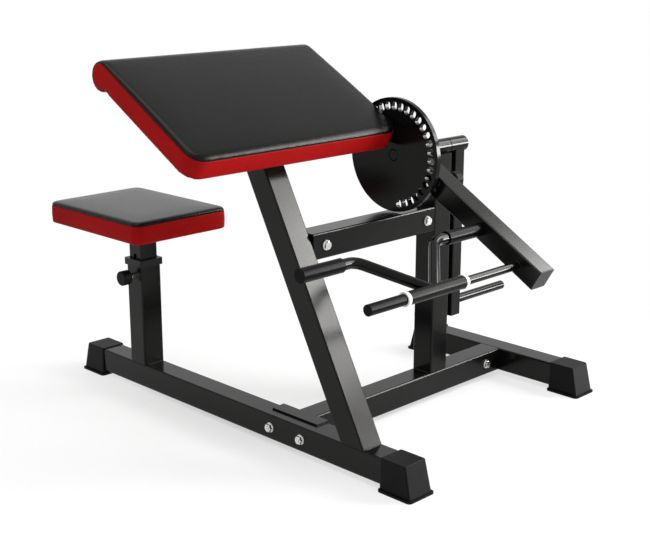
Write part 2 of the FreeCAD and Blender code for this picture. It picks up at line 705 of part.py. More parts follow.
def curl_arm():
    mid = ARM_Y + SLIM_HALF
    back = ARM_Y + SLIM_TUBE
    tube = square_tube(SLIM_TUBE, SLIM_WALL, SLIM_CORNER, ARM_REACH + ARM_TAIL - 2 * PLUG_LIP)
    arm = aim(tube, at(PLUG_LIP - ARM_TAIL, mid, 0), X_AXIS)
    hub = ring(at(0, ARM_HUB_START, 0), Y_AXIS, BEARING_OUT, BUSH_OUT, ARM_HUB_END - ARM_HUB_START)
    arm = arm.cut(rod(at(0, ARM_HUB_START, 0), Y_AXIS, BEARING_OUT, back))
    arm = arm.cut(rod(at(SLOT_R, ARM_Y, 0), Y_AXIS, PIN_D / 2 + RUN, SLIM_TUBE))
    outer = aim(end_plug(SLIM_TUBE, SLIM_WALL, SLIM_CORNER), at(ARM_REACH - PLUG_LIP, mid, 0), X_AXIS)
    inner = aim(end_plug(SLIM_TUBE, SLIM_WALL, SLIM_CORNER), at(PLUG_LIP - ARM_TAIL, mid, 0), X_AXIS * -1)
    inner = inner.cut(rod(at(0, ARM_HUB_START, 0), Y_AXIS, BEARING_OUT + FIT, back))
    return {
        "arm_tube": arm_place(arm),
        "arm_hub": arm_place(hub),
        "arm_bushes": group([plain_bush(ARM_HUB_START, 1), plain_bush(ARM_HUB_END, -1)]),
        "arm_plug_outer": arm_place(outer),
        "arm_plug_inner": arm_place(inner),
    }


def bar_rod(start, end, radius):
    return rod(at(BAR_X, start, BAR_Z), Y_AXIS, radius, end - start)


def handle_bar():
    shoulder = SWIVEL_FAR + RING_THICK + GAP
    bar = bar_rod(shoulder, ARM_Y, BAR_D / 2).fuse(bar_rod(BAR_END_Y + PLUG_LIP, shoulder, JOURNAL_D / 2))
    pocket = bar_rod(BAR_END_Y + PLUG_LIP, STUB_START, JOURNAL_D / 2 + FIT)
    sleeve = bar_rod(BAR_END_Y, STUB_START, STUB_OUT).cut(pocket)
    return {"handle_bar": bar.removeSplitter(), "bar_end_sleeve": sleeve}


# Swivel handle

def handle_place(shape):
    """Moves a shape from the handle's own frame, where x points from the bar to the grips."""
    turn = FreeCAD.Rotation(Y_AXIS, -HANDLE_ANGLE)
    shape.Placement = FreeCAD.Placement(at(BAR_X, HANDLE_MID, BAR_Z), turn).multiply(shape.Placement)
    return shape


def bent_rod(side):
    """One of the two rods, which meet in a mitre on the swivel tube."""
    foot = at(0, 0, 0)
    bend = at(GRIP_OFFSET, side * HANDLE_BEND, 0)
    end = at(GRIP_OFFSET, side * GRIP_END, 0)
    inward = (foot - bend).normalize()
    outward = (end - bend).normalize()
    half_turn = (math.pi - inward.getAngle(outward)) / 2
    run = BEND_R * math.tan(half_turn)
    first, last = bend + inward * run, bend + outward * run
    centre_way = (inward + outward).normalize()
    middle = bend + centre_way * (BEND_R / math.cos(half_turn) - BEND_R)
    path = Part.Wire([
        Part.LineSegment(foot, first).toShape(),
        arc(first, middle, last),
        Part.LineSegment(last, end).toShape(),
    ])
    profile = Part.Wire(Part.makeCircle(HANDLE_ROD, foot, inward))
    bent = path.makePipeShell([profile], True, False)
    swivel = rod(at(0, SWIVEL_NEAR - HANDLE_MID, 0), Y_AXIS, SWIVEL_OUT, SWIVEL_FAR - SWIVEL_NEAR)
    behind = block(-GRIP_OFFSET, 0, -GRIP_END, GRIP_END, -GRIP_OFFSET, GRIP_OFFSET)
    reach = side * GRIP_END
    half = block(0, 2 * GRIP_OFFSET, min(0, reach), max(0, reach), -GRIP_OFFSET, GRIP_OFFSET)
    return handle_place(bent.common(half).cut(swivel).cut(behind))


def grip(side):
    axis = Y_AXIS * side
    start = at(GRIP_OFFSET, side * GRIP_START, 0)
    outer = rod(start, axis, HANDLE_ROD + GRIP_WALL, GRIP_END + GRIP_CAP - GRIP_START)
    return handle_place(outer.cut(rod(start, axis, HANDLE_ROD + FIT, GRIP_END + FIT - GRIP_START)))


def swivel_ring(face, inward):
    """Flanged nylon ring in one end of the swivel tube."""
    axis = Y_AXIS * inward
    start = at(BAR_X, face, BAR_Z)
    body = rod(start, axis, JOURNAL_D / 2 + RING_WALL, RING_DEEP)
    flange = rod(start, axis * -1, RING_OUT, RING_THICK)
    return body.fuse(flange).cut(bar_rod(BAR_END_Y, ARM_Y, JOURNAL_D / 2 + RUN))


def swivel_handle():
    bore = JOURNAL_D / 2 + RING_WALL + FIT
    tube = bar_rod(SWIVEL_NEAR, SWIVEL_FAR, SWIVEL_OUT).cut(bar_rod(SWIVEL_NEAR, SWIVEL_FAR, bore))
    return {
        "swivel_tube": tube,
        "swivel_rings": group([swivel_ring(SWIVEL_NEAR, 1), swivel_ring(SWIVEL_FAR, -1)]),
        "handle_rod_near": bent_rod(-1),
        "handle_rod_far": bent_rod(1),
        "grip_near": grip(-1),
        "grip_far": grip(1),
    }


# Spring pins, drawn along y with the tube's outer face at the origin and the knob on the plus side

def pin_bush():
    chamber = rod(Y_AXIS * PIN_BUSH_WALL, Y_AXIS, PIN_COLLAR_R + GAP, PIN_BUSH_LONG - 2 * PIN_BUSH_WALL)
    bush = ring(at(0, 0, 0), Y_AXIS, PIN_BUSH_OUT, PIN_STEM_D / 2 + RUN, PIN_BUSH_LONG)
    return bush.cut(chamber).cut(rod(at(0, 0, 0), Y_AXIS, PIN_D / 2 + RUN, PIN_BUSH_WALL))


def pin_plunger(nose):
    collar_start = PIN_BUSH_WALL + GAP
    body = rod(Y_AXIS * -nose, Y_AXIS, PIN_D / 2, nose + collar_start)
    collar = rod(Y_AXIS * collar_start, Y_AXIS, PIN_COLLAR_R, PIN_COLLAR)
    stem = rod(Y_AXIS * collar_start, Y_AXIS, PIN_STEM_D / 2, PIN_STEM + KNOB_LONG / 2 - collar_start)
    return body.fuse([collar, stem]).removeSplitter()


def pin_knob():
    knob = rod(Y_AXIS * PIN_STEM, Y_AXIS, KNOB_D / 2, KNOB_LONG)
    rims = [edge for edge in knob.Edges if isinstance(edge.Curve, Part.Circle)]
    pocket = rod(Y_AXIS * PIN_STEM, Y_AXIS, PIN_STEM_D / 2, KNOB_LONG / 2)
    return knob.makeFillet(KNOB_EDGE, rims).cut(pocket)


def pin_spring():
    start = PIN_BUSH_WALL + GAP + PIN_COLLAR
    radius = (PIN_STEM_D / 2 + PIN_COLLAR_R) / 2
    return helix(Y_AXIS * start, Y_AXIS, radius, PIN_BUSH_LONG - PIN_BUSH_WALL - start)


def spring_pin(prefix, nose, place):
    pieces = {"bush": pin_bush(), "spring": pin_spring(), "plunger": pin_plunger(nose), "knob": pin_knob()}
    placed = {}
    for name, shape in pieces.items():
        shape.Placement = place.multiply(shape.Placement)
        placed[prefix + "_" + name] = shape
    return placed


def arm_pin():
    nose = ARM_Y + SLIM_TUBE - DISC_BACK - GAP
    start = FreeCAD.Placement(at(SLOT_R, ARM_Y + SLIM_TUBE, 0), FreeCAD.Rotation())
    return {name: arm_place(shape) for name, shape in spring_pin("arm_pin", nose, start).items()}


# Seat

def seat_pin():
    nose = HALF - SLIM_HALF - GAP
    place = FreeCAD.Placement(at(SEAT_POST_X, -HALF, SEAT_PIN_Z), FreeCAD.Rotation(Z_AXIS, 180))
    return spring_pin("seat_pin", nose, place)


def seat_pin_hole(z, radius, y0, y1):
    return rod(at(SEAT_POST_X, y0, z), Y_AXIS, radius, y1 - y0)


def seat_post():
    post = frame_tube(at(SEAT_POST_X, 0, BASE_TOP), Z_AXIS, SEAT_POST_TOP - BASE_TOP)
    rim = square_bar(TUBE + 2 * COLLAR_OVER, TUBE_CORNER, COLLAR_RIM)
    sleeve = square_bar(TUBE - 2 * TUBE_WALL - 2 * FIT, TUBE_CORNER - TUBE_WALL, COLLAR_DEEP)
    sleeve.translate(Z_AXIS * -COLLAR_DEEP)
    bore = square_bar(SLIM_TUBE + 2 * GAP, SLIM_CORNER, COLLAR_DEEP + COLLAR_RIM)
    bore.translate(Z_AXIS * -COLLAR_DEEP)
    collar = aim(rim.fuse(sleeve).cut(bore), at(SEAT_POST_X, 0, SEAT_POST_TOP), Z_AXIS)
    hole = seat_pin_hole(SEAT_PIN_Z, PIN_D / 2 + RUN, -TUBE, -SLIM_HALF)
    return {"seat_post": post.cut(hole), "seat_collar": collar.cut(hole)}


def seat_stem():
    bottom = STEM_TOP - STEM_LONG
    foot = at(SEAT_POST_X, 0, bottom)
    stem = aim(square_tube(SLIM_TUBE, SLIM_WALL, SLIM_CORNER, STEM_LONG), foot, Z_AXIS)
    for step in range(-SEAT_UP, SEAT_DOWN + 1):
        hole = seat_pin_hole(SEAT_PIN_Z + step * SEAT_STEP, PIN_D / 2 + HOLE_PLAY, -TUBE, 0)
        stem = stem.cut(hole)
    plug = aim(end_plug(SLIM_TUBE, SLIM_WALL, SLIM_CORNER), foot, Z_AXIS * -1)
    return {"seat_stem": stem, "seat_stem_plug": plug}


def seat_section(inset, height):
    half_x = SEAT_LENGTH / 2 - inset
    half_y = SEAT_WIDTH / 2 - inset
    corner = max(SEAT_CORNER - inset, HEM)
    near, far = SEAT_Y - half_y, SEAT_Y + half_y
    return outline(SEAT_X - half_x, SEAT_X + half_x, near, far, corner, SEAT_Z + height)


def seat_cushion():
    """Lofted upwards: hem, swelling side band, seam, rolled edge and crown."""
    low = SEAT_BAND - HEM / 2
    rise = SEAT_BAND + SEAT_EDGE_RISE - low
    edge_in = SIDE_SWELL + SEAT_EDGE_RUN
    sections = [
        (HEM + SIDE_SWELL, 0),
        (SIDE_SWELL, HEM),
        (0, SEAT_BAND / 2),
        (SIDE_SWELL, low),
    ]
    for turn in (22.5, 45, 67.5, 90):
        part = math.radians(turn)
        sections.append((edge_in - SEAT_EDGE_RUN * math.cos(part), low + rise * math.sin(part)))
    for share in CROWN_STEPS:
        inset = edge_in + (CROWN_RUN - SEAT_EDGE_RUN) * share
        swell = 1 - (1 - share) ** 2
        sections.append((inset, SEAT_BAND + SEAT_EDGE_RISE + (SEAT_CROWN - SEAT_EDGE_RISE) * swell))
    cushion = Part.makeLoft([seat_section(inset, height) for inset, height in sections], True, True)
    return cushion.cut(seat_board_blank(FIT))


def seat_board_blank(play):
    return Part.Face(seat_section(BOARD_INSET - play, 0)).extrude(Z_AXIS * (SEAT_BOARD + play))


def seat_top():
    half = SEAT_PLATE_HALF
    plate = block(SEAT_POST_X - half, SEAT_POST_X + half, -half, half, STEM_TOP, SEAT_Z)
    board = seat_board_blank(0)
    points = [at(SEAT_POST_X + x * SEAT_STUD, y * SEAT_STUD, STEM_TOP) for x in (-1, 1) for y in (-1, 1)]
    length = PLATE + SEAT_BOARD - FIT
    bolts = [bolt(point, Z_AXIS, STUD_D, length, STUD_FLATS, STUD_HEAD) for point in points]
    for point in points:
        plate = plate.cut(stud_hole(point))
        board = board.cut(stud_hole(point))
    return {
        "seat_plate": plate,
        "seat_board": board,
        "seat_cushion": seat_cushion(),
        "seat_bolts": group(bolts),
    }


def build():
    nodes = {"cross_flange": cross_flange()}
    frame = (base_tubes, foot_caps, joint_spigots, frame_fasteners, arm_pad, upright_and_brace, lever_stop)
    arm = (weight_lever, curl_arm, handle_bar, swivel_handle, arm_pin)
    seat = (seat_pin, seat_post, seat_stem, seat_top)
    for maker in frame + arm + seat:
        nodes.update(maker())
    nodes["index_disc"] = index_disc()
    for shape in nodes.values():
        shape.translate(ORIGIN * -1)
    return nodes


def main():
    os.makedirs("parts", exist_ok=True)
    for name, shape in build().items():
        shape.exportStep("parts/" + name + ".step")
        state = "valid" if shape.isValid() else "INVALID"
        print(name, len(shape.Solids), "solids", round(shape.Volume), "mm3", state)


main()
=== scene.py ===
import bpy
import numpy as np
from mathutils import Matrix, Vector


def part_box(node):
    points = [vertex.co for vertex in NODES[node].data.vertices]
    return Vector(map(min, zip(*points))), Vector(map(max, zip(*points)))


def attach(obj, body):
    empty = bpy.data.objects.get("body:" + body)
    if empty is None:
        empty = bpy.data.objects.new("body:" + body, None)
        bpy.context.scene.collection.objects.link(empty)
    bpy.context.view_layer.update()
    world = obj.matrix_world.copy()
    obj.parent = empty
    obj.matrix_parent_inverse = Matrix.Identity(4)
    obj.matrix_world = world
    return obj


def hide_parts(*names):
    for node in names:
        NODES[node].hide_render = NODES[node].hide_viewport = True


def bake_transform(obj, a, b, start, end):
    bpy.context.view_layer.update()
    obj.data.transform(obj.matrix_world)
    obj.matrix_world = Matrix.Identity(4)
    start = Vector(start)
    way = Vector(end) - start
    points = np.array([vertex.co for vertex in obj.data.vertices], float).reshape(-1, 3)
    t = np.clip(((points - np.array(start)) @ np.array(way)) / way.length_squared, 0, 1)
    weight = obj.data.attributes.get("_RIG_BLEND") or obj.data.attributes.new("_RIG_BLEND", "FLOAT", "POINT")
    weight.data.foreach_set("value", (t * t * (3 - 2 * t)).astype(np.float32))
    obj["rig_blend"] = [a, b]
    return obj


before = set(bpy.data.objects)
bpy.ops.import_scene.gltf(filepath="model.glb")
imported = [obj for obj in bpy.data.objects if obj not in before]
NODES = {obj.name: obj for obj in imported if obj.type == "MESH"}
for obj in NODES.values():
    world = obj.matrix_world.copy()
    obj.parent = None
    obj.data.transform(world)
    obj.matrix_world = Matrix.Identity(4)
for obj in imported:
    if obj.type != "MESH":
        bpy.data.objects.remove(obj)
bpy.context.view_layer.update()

import bmesh
import bpy
import math
import numpy as np
from mathutils import Matrix, Vector
from mathutils.bvhtree import BVHTree

# Looks of a plate-loaded preacher curl bench. Lengths are in metres.
# Points are written in the bench's design frame, x from the cross tube, y from the main tube and z from
# the floor, and moved to the middle of the bench by place().
MIDDLE = Vector((-0.191228, 0.2495, 0.0))

# Sizes of the frame that the added pieces follow
TUBE = 0.060
BASE_TOP = 0.072
POST_FOOT_X = 0.2069
POST_LEAN = math.radians(27.9)
SEAT_POST_X = -0.551
UPRIGHT_Y = 0.4685
PIVOT_Z = 0.633
DISC_BACK = 0.3305
SLOT_R = 0.1145
ARM_Y = 0.3455
ARM_TUBE = 0.050
ARM_DROP = math.radians(30.4)
BAR_ALONG = 0.4006  # fixed bar's place from the pivot, along the arm and below its middle
BAR_BELOW = 0.0037
WEIGHT_WELD = (0, 0.562, 0.234)

# Arm pad: its lower edge, slope and section
PAD_EDGE = (0.0002, 0.6504)
PAD_SLOPE = math.radians(30.0)
PAD_SEAM = 0.0462
PAD_ROLL_U = 0.3404
PAD_ROLL_N = 0.019
ROLL_END = 0.0286
ROLL_START = 0.22
PAD_BOARD_END = 0.300
PAD_BOARD_TOP = 0.0165

# Seat
SEAT_Z = 0.4237
SEAT_SEAM = 0.0450


def place(x, y, z):
    return Vector((x, y, z)) - MIDDLE


class Shader:
    """A node material with short ways to add textures."""

    def __init__(self, name):
        self.material = bpy.data.materials.new(name)
        self.material.use_nodes = True
        self.tree = self.material.node_tree
        self.bsdf = self.tree.nodes["Principled BSDF"]
        self.coords = self.node("ShaderNodeTexCoord").outputs["Object"]

    def node(self, kind, inputs=None, **settings):
        node = self.tree.nodes.new(kind)
        for key, value in settings.items():
            setattr(node, key, value)
        for key, value in (inputs or {}).items():
            self.feed(node.inputs[key], value)
        return node

    def feed(self, socket, value):
        if isinstance(value, bpy.types.NodeSocket):
            self.tree.links.new(value, socket)
        else:
            socket.default_value = value

    def set(self, **inputs):
        for key, value in inputs.items():
            self.feed(self.bsdf.inputs[key.replace("_", " ")], value)
        return self.material

    def noise(self, scale, detail=2.0, coords=None):
        inputs = {"Vector": coords or self.coords, "Scale": scale, "Detail": detail}
        return self.node("ShaderNodeTexNoise", inputs).outputs["Fac"]

    def cells(self, scale):
        inputs = {"Vector": self.coords, "Scale": scale}
        return self.node("ShaderNodeTexVoronoi", inputs, feature="DISTANCE_TO_EDGE").outputs["Distance"]

    def stretched(self, x, y, z):
        mapping = self.node("ShaderNodeMapping", {"Vector": self.coords, "Scale": (x, y, z)})
        return mapping.outputs["Vector"]

    def spread(self, value, low, high, start=0.0, end=1.0):
        inputs = {"Value": value, "From Min": low, "From Max": high, "To Min": start, "To Max": end}
        return self.node("ShaderNodeMapRange", inputs).outputs["Result"]

    def math(self, operation, a, b=0.0):
        node = self.node("ShaderNodeMath", operation=operation)
        self.feed(node.inputs[0], a)
        self.feed(node.inputs[1], b)
        return node.outputs["Value"]

    def mix(self, factor, a, b):
        node = self.node("ShaderNodeMix", data_type="RGBA")
        for index, value in ((0, factor), (6, a), (7, b)):
            self.feed(node.inputs[index], value)
        return node.outputs[2]

    def bump(self, height, strength, distance, normal=None):
        inputs = {"Height": height, "Strength": strength, "Distance": distance}
        if normal is not None:
            inputs["Normal"] = normal
        return self.node("ShaderNodeBump", inputs).outputs["Normal"]


def rgb(red, green, blue):
    return (red, green, blue, 1.0)


WARM = rgb(1.0, 0.985, 0.94)  # tint of the black surfaces' shine


def coated(name, shade, rough, grain, specular):
    """Black paint: uneven film, orange peel, fine specks and a clear gloss."""
    s = Shader(name)
    film = s.noise(9.0, 4.0)
    fine = s.noise(grain, 3.0)
    dark = rgb(shade * 0.75, shade * 0.75, shade * 0.74)
    light = rgb(shade * 1.25, shade * 1.25, shade * 1.22)
    speck = s.spread(s.noise(grain * 1.6, 1.0), 0.62, 0.75, 0.0, 0.3)
    colour = s.mix(s.spread(film, 0.3, 0.7), dark, light)
    colour = s.mix(speck, colour, rgb(shade * 6, shade * 6, shade * 6))
    gloss = s.spread(film, 0.3, 0.7, rough * 0.88, rough * 1.12)
    roughness = s.math("ADD", gloss, s.spread(fine, 0.3, 0.7, -0.015, 0.015))
    s.set(Specular_IOR_Level=specular, Specular_Tint=WARM)
    return s.set(Base_Color=colour, Roughness=roughness, Normal=s.bump(fine, 0.08, 0.00005))


def moulded(name, shade, rough, grain, depth, specular):
    """Moulded plastic or rubber with a spark-eroded grain."""
    s = Shader(name)
    cloud = s.noise(14.0, 3.0)
    fine = s.noise(grain, 2.0)
    dark = rgb(shade * 0.8, shade * 0.8, shade * 0.8)
    light = rgb(shade * 1.3, shade * 1.3, shade * 1.32)
    colour = s.mix(s.spread(cloud, 0.3, 0.7), dark, light)
    roughness = s.spread(fine, 0.25, 0.75, rough - 0.06, rough + 0.08)
    normal = s.bump(fine, 0.25, depth)
    return s.set(Base_Color=colour, Roughness=roughness, Normal=normal, Specular_IOR_Level=specular)


def metal(name, dark, light, rough, scale):
    """Bare or plated steel with faint blotches and scratches."""
    s = Shader(name)
    blotch = s.noise(scale, 4.0)
    lines = s.noise(40.0, 3.0, s.stretched(30.0, 2.0, 30.0))
    colour = s.mix(s.spread(blotch, 0.3, 0.7), dark, light)
    dull = s.spread(blotch, 0.3, 0.7, rough - 0.05, rough + 0.08)
    roughness = s.math("ADD", dull, s.spread(lines, 0.3, 0.7, -0.04, 0.04))
    return s.set(Base_Color=colour, Roughness=roughness, Metallic=1.0, Normal=s.bump(lines, 0.05, 0.0002))


def nylon():
    s = Shader("white_nylon")
    cloud = s.noise(60.0, 3.0)
    colour = s.mix(s.spread(cloud, 0.3, 0.7), rgb(0.70, 0.69, 0.66), rgb(0.79, 0.79, 0.77))
    roughness = s.spread(s.noise(500.0), 0.3, 0.7, 0.30, 0.42)
    return s.set(Base_Color=colour, Roughness=roughness, Normal=s.bump(s.noise(900.0), 0.08, 0.0002))


def plywood():
    s = Shader("plywood")
    grain = s.noise(12.0, 6.0, s.stretched(1.0, 14.0, 14.0))
    pores = s.noise(120.0, 2.0, s.stretched(1.0, 12.0, 12.0))
    colour = s.mix(s.spread(grain, 0.35, 0.65), rgb(0.30, 0.19, 0.10), rgb(0.52, 0.38, 0.23))
    colour = s.mix(s.math("MULTIPLY", s.spread(pores, 0.6, 0.75), 0.5), colour, rgb(0.14, 0.08, 0.04))
    roughness = s.spread(grain, 0.3, 0.7, 0.6, 0.8)
    return s.set(Base_Color=colour, Roughness=roughness, Normal=s.bump(pores, 0.2, 0.0005))


def vinyl(name, dark, light, crease, rough, specular):
    """Grained vinyl, with a dark line along the groove where two panels are sewn together: painted shade in
    the groove, and dirt.
    """
    s = Shader(name)
    seam = s.node("ShaderNodeAttribute", attribute_name="seam").outputs["Fac"]
    cloud = s.noise(7.0, 4.0)
    cells = s.cells(620.0)
    fine = s.noise(1300.0, 2.0)
    colour = s.mix(s.spread(cloud, 0.3, 0.7), dark, light)
    colour = s.mix(s.spread(cells, 0.0, 0.12, 0.72, 1.0), crease, colour)
    # painted shade and dirt: a near-black line within 1.5 mm of the seam, darkening the sunken groove
    seam_shade = s.spread(s.math("ABSOLUTE", seam), 0.0005, 0.0015, 1.0, 0.0)
    colour = s.mix(seam_shade, colour, rgb(0.002, 0.002, 0.002))
    roughness = s.spread(fine, 0.3, 0.7, rough - 0.04, rough + 0.05)
    normal = s.bump(s.spread(cells, 0.0, 0.2), 0.12, 0.00025)
    normal = s.bump(fine, 0.08, 0.0001, normal)
    s.set(Specular_IOR_Level=specular, Specular_Tint=WARM)
    return s.set(Base_Color=colour, Roughness=roughness, Normal=normal)


MATERIALS = {
    "frame": coated("powder_coat", 0.0030, 0.19, 620.0, 0.17),
    "gloss": coated("gloss_coat", 0.003, 0.12, 500.0, 0.14),
    "arm": coated("arm_coat", 0.003, 0.18, 620.0, 0.23),
    "satin": coated("satin_coat", 0.003, 0.32, 620.0, 0.08),
    "disc": coated("disc_coat", 0.003, 0.16, 700.0, 0.12),
    "plastic": moulded("black_plastic", 0.004, 0.42, 1500.0, 0.00006, 0.075),
    "smooth": moulded("smooth_plastic", 0.006, 0.30, 900.0, 0.00003, 0.20),
    "rubber": moulded("black_rubber", 0.003, 0.27, 1100.0, 0.00004, 0.055),
    "zinc": metal("zinc_plate", rgb(0.60, 0.60, 0.58), rgb(0.80, 0.80, 0.78), 0.22, 160.0),
    "steel": metal("bright_steel", rgb(0.66, 0.66, 0.66), rgb(0.82, 0.82, 0.82), 0.18, 90.0),
    "nylon": nylon(),
    "board": plywood(),
    "black_vinyl": vinyl("black_vinyl", rgb(0.0020, 0.0021, 0.0020), rgb(0.0032, 0.0033, 0.0032),
                         rgb(0.0012, 0.0012, 0.0012), 0.22, 0.115),
    "red_vinyl": vinyl("red_vinyl", rgb(0.253, 0.0036, 0.0038), rgb(0.311, 0.0046, 0.0048),
                       rgb(0.20, 0.0025, 0.003), 0.46, 0.03),
}

FINISHES = {
    "gloss": ["handle_bar", "handle_rod_near", "handle_rod_far", "weight_post", "pivot_bearing_tube",
              "lever_hub"],
    "arm": ["arm_tube"],
    "satin": ["swivel_tube"],
    "smooth": ["seat_collar", "arm_plug_outer"],
    "disc": ["index_disc", "swing_axle"],
    "plastic": ["foot_cap_rear", "foot_cap_front", "foot_cap_side_rear", "foot_cap_side_front", "lever_plug",
                "arm_plug_inner", "seat_stem_plug", "seat_pin_knob", "arm_pin_knob", "pivot_bushes"],
    "rubber": ["grip_near", "grip_far", "bar_end_sleeve", "lever_stop_bumper"],
    "zinc": ["frame_bolts", "frame_washers", "frame_nuts", "arm_pad_bolts", "seat_bolts", "hub_bolt_set",
             "seat_pin_bush", "arm_pin_bush"],
    "steel": ["arm_pin_plunger", "seat_pin_plunger", "arm_pin_spring", "seat_pin_spring"],
    "nylon": ["swivel_rings", "arm_bushes"],
    "board": ["arm_pad_board", "seat_board"],
}


def dress(obj, finish):
    obj.data.materials.clear()
    obj.data.materials.append(MATERIALS[finish])


def dress_nodes():
    finish_of = {node: finish for finish, nodes in FINISHES.items() for node in nodes}
    for name, obj in NODES.items():
        dress(obj, finish_of.get(name, "frame"))


# Cushions
VOXEL = 0.005
START_SMALLER = 0.0022  # the cover starts this much inside its solid and is blown up
PRESSURE = 4.0
SWELL_RANGE = (0.0, 0.0016)
SWELL_ROUNDS = 90
SEAM_HALF = 0.0012
SEAM_CLEAR = 0.001  # the top is drawn taut from here to SEAM_FADE further in
SEAM_FADE = 0.004
GROOVE = 0.0014
RIPPLE = 0.00012
RIPPLE_REACH = 0.010
HEM = 0.0015


def pad_coordinates(points):
    """Distance up the pad's slope from its lower edge, and height square to it."""
    start = np.array(place(PAD_EDGE[0], 0, PAD_EDGE[1]))
    offset = points - start
    up = -offset[:, 0] * math.cos(PAD_SLOPE) + offset[:, 2] * math.sin(PAD_SLOPE)
    height = offset[:, 0] * math.sin(PAD_SLOPE) + offset[:, 2] * math.cos(PAD_SLOPE)
    return up, height


def pad_seam(points):
    """Signed distance to the arm pad's seam, above 0 on the red band and the roll's ends."""
    up, height = pad_coordinates(points)
    from_roll = ROLL_END - np.hypot(up - PAD_ROLL_U, height - PAD_ROLL_N)
    share = np.clip((up - ROLL_START) / (PAD_ROLL_U - ROLL_START), 0, 1)
    share = share * share * (3 - 2 * share)
    top = PAD_SEAM + (PAD_ROLL_N + ROLL_END - PAD_SEAM) * share
    seam = np.where(up > PAD_ROLL_U, from_roll, top - height)
    under = (up > PAD_BOARD_END) & (height < 0.004)
    return np.where(under, from_roll, seam)


def seat_seam(points):
    return SEAT_SEAM - (points[:, 2] - SEAT_Z)


def coordinates(mesh):
    flat = np.empty(len(mesh.vertices) * 3)
    mesh.vertices.foreach_get("co", flat)
    return flat.reshape(-1, 3)


def normals(mesh):
    flat = np.empty(len(mesh.vertices) * 3)
    mesh.vertices.foreach_get("normal", flat)
    return flat.reshape(-1, 3)


def write_coordinates(mesh, points):
    mesh.vertices.foreach_set("co", points.astype(np.float32).ravel())
    mesh.update()


def apply_modifiers(obj):
    bpy.context.view_layer.update()
    shaped = bpy.data.meshes.new_from_object(obj.evaluated_get(bpy.context.evaluated_depsgraph_get()))
    obj.modifiers.clear()
    old = obj.data
    obj.data = shaped
    bpy.data.meshes.remove(old)


def inflate(obj, held, pressure, steps=20):
    """Blows the cover up while its hem is held, and returns how far each point moves outwards."""
    mesh = obj.data
    before, outward = coordinates(mesh), normals(mesh)
    write_coordinates(mesh, before - outward * np.where(held, 0.0, START_SMALLER)[:, None])
    group = obj.vertex_groups.new(name="held")
    group.add([int(i) for i in np.nonzero(held)[0]], 1.0, "REPLACE")
    cloth = obj.modifiers.new("cloth", "CLOTH")
    cloth.settings.quality = 5
    cloth.settings.mass = 0.25
    cloth.settings.tension_stiffness = 20
    cloth.settings.compression_stiffness = 20
    cloth.settings.bending_stiffness = 0.6
    cloth.settings.use_pressure = True
    cloth.settings.uniform_pressure_force = pressure
    cloth.settings.vertex_group_mass = "held"
    cloth.settings.effector_weights.gravity = 0
    scene = bpy.context.scene
    for step in range(1, steps + 1):
        scene.frame_set(step)
    swollen = obj.evaluated_get(bpy.context.evaluated_depsgraph_get()).to_mesh()
    swell = ((coordinates(swollen) - before) * outward).sum(axis=1)
    obj.modifiers.clear()
    obj.vertex_groups.clear()
    scene.frame_set(1)
    write_coordinates(mesh, before)
    return swell


def evened(mesh, values, rounds, share=0.5):
    """Values at the points, drawn towards their neighbours' mean: swelling stays and wrinkles go."""
    ends = np.empty(len(mesh.edges) * 2, np.int32)
    mesh.edges.foreach_get("vertices", ends)
    a, b = ends.reshape(-1, 2).T
    count = len(mesh.vertices)
    near = np.bincount(a, minlength=count) + np.bincount(b, minlength=count)
    values = np.array(values, float)
    for _ in range(rounds):
        total = np.bincount(a, values[b], count) + np.bincount(b, values[a], count)
        values = values + share * (total / near - values)
    return values


def store(mesh, name, values):
    attribute = mesh.attributes.get(name) or mesh.attributes.new(name, "FLOAT", "POINT")
    attribute.data.foreach_set("value", values.astype(np.float32))


def stored(mesh, name):
    values = np.empty(len(mesh.vertices), np.float32)
    mesh.attributes[name].data.foreach_get("value", values)
    return values.astype(float)


def smooth_shading(mesh):
    mesh.polygons.foreach_set("use_smooth", [True] * len(mesh.polygons))


def on_surface(points, mesh):
    """The nearest places on a mesh."""
    corners = [vertex.co for vertex in mesh.vertices]
    tree = BVHTree.FromPolygons(corners, [face.vertices for face in mesh.polygons])
    return np.array([tree.find_nearest(Vector(point))[0] for point in points])


def cut_along(shape, layer, level):
    """New edges where the seam's distance passes a level."""
    made = set()
    for edge in list(shape.edges):
        a, b = edge.verts
        low, high = a[layer] - level, b[layer] - level
        if low * high < 0:
            _, point = bmesh.utils.edge_split(edge, a, low / (low - high))
            point[layer] = level
            made.add(point)
    for face in list(shape.faces):
        ends = [point for point in face.verts if point in made]
        if len(ends) == 2 and not any(ends[1] in edge.verts for edge in ends[0].link_edges):
            bmesh.utils.face_split(face, ends[0], ends[1])


def sew(mesh):
    """Cuts the cover along its seam and gives the band and the top their own panels."""
    shape = bmesh.new()
    shape.from_mesh(mesh)
    layer = shape.verts.layers.float["seam"]
    for level in (-SEAM_HALF, 0.0, SEAM_HALF):
        cut_along(shape, layer, level)
    for face in shape.faces:
        face.smooth = True
        face.material_index = int(sum(point[layer] for point in face.verts) > 0)
    shape.to_mesh(mesh)
    shape.free()


def rough_cover(name, solid):
    """An evenly meshed copy of a cushion's solid."""
    obj = bpy.data.objects.new(name, solid.copy())
    bpy.context.scene.collection.objects.link(obj)
    remesh = obj.modifiers.new("remesh", "REMESH")
    remesh.mode = "VOXEL"
    remesh.voxel_size = VOXEL
    apply_modifiers(obj)
    return obj


def draw_taut(obj, solid, seam_of):
    """Refines the cover, lays it on the solid and smooths its top, then notes where the seam runs."""
    finer = obj.modifiers.new("finer", "SUBSURF")
    finer.levels = finer.render_levels = 1
    apply_modifiers(obj)
    mesh = obj.data
    points = on_surface(coordinates(mesh), solid)
    flat = np.clip((-seam_of(points) - SEAM_CLEAR) / SEAM_FADE, 0, 1)
    for rounds, share in ((2, 0.3), (12, 0.5 * flat)):
        points = np.stack([evened(mesh, column, rounds, share) for column in points.T], axis=1)
    write_coordinates(mesh, points)
    store(mesh, "seam", seam_of(points))


